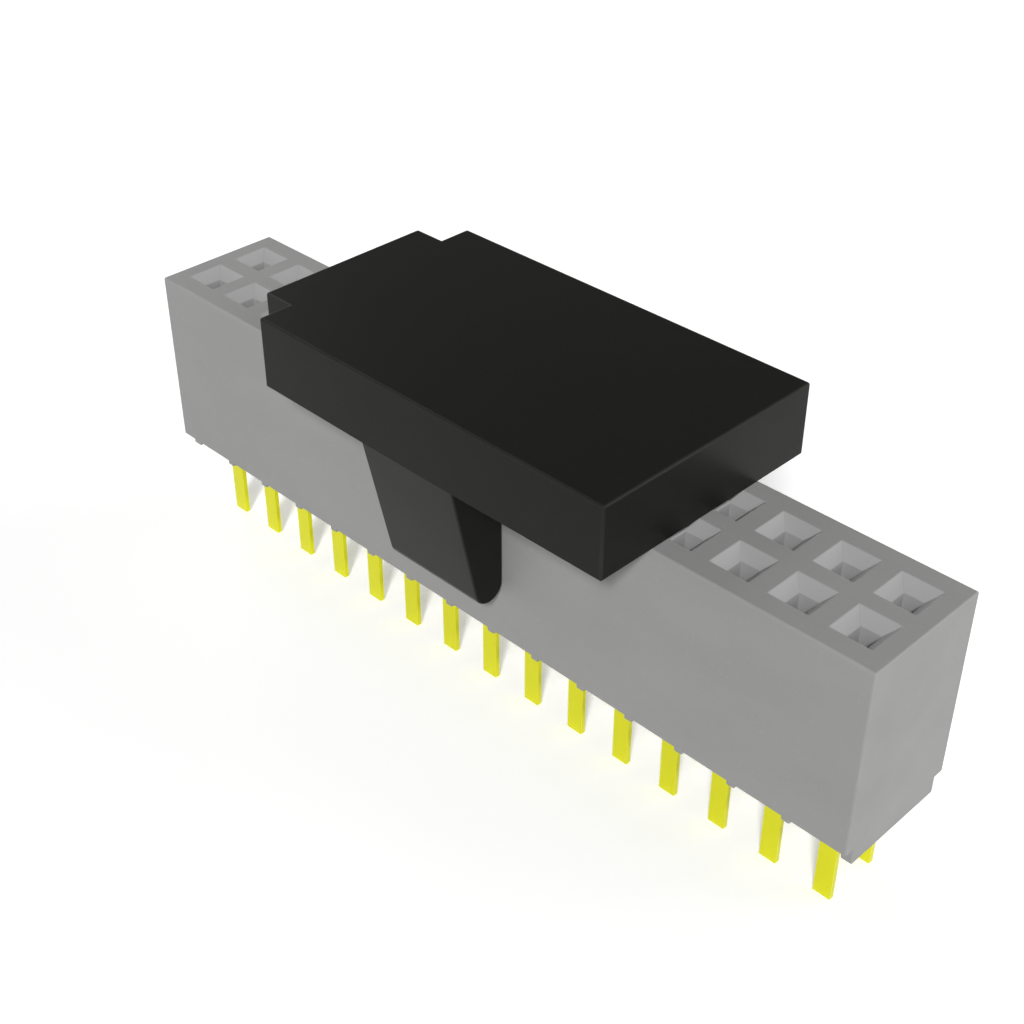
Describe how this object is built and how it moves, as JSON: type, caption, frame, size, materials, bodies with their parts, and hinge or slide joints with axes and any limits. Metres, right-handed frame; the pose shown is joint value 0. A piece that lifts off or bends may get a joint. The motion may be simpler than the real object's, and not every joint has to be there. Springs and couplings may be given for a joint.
{
  "type": "board-to-board socket",
  "caption": "Dual-row through-hole socket strip with flat tails, stand-off ribs and a clip-on pick-up pad, for stacking circuit boards.",
  "frame": {"origin": "centre of the plane in which the stand-off ribs set down on the circuit board", "axes": "+X along the two rows, +Z out of the mating face, the way the pick-up face looks, +Y towards the back row"},
  "size_m": [0.0388, 0.0114, 0.0161],
  "materials": {
    "insulator": "moulded, satin grey",
    "pad": "moulded, satin black",
    "contact_plating": "bright yellow plating on a copper alloy"
  },
  "bodies": {
    "root": {"insulator_body": "insulator", "pick_and_place_pad": "pad", "contact_front_01": "contact_plating", "contact_front_02": "contact_plating", "contact_front_03": "contact_plating", "contact_front_04": "contact_plating", "contact_front_05": "contact_plating", "contact_front_06": "contact_plating", "contact_front_07": "contact_plating", "contact_front_08": "contact_plating", "contact_front_09": "contact_plating", "contact_front_10": "contact_plating", "contact_front_11": "contact_plating", "contact_front_12": "contact_plating", "contact_front_13": "contact_plating", "contact_front_14": "contact_plating", "contact_front_15": "contact_plating", "contact_back_01": "contact_plating", "contact_back_02": "contact_plating", "contact_back_03": "contact_plating", "contact_back_04": "contact_plating", "contact_back_05": "contact_plating", "contact_back_06": "contact_plating", "contact_back_07": "contact_plating", "contact_back_08": "contact_plating", "contact_back_09": "contact_plating", "contact_back_10": "contact_plating", "contact_back_11": "contact_plating", "contact_back_12": "contact_plating", "contact_back_13": "contact_plating", "contact_back_14": "contact_plating", "contact_back_15": "contact_plating"}
  },
  "joints": []
}
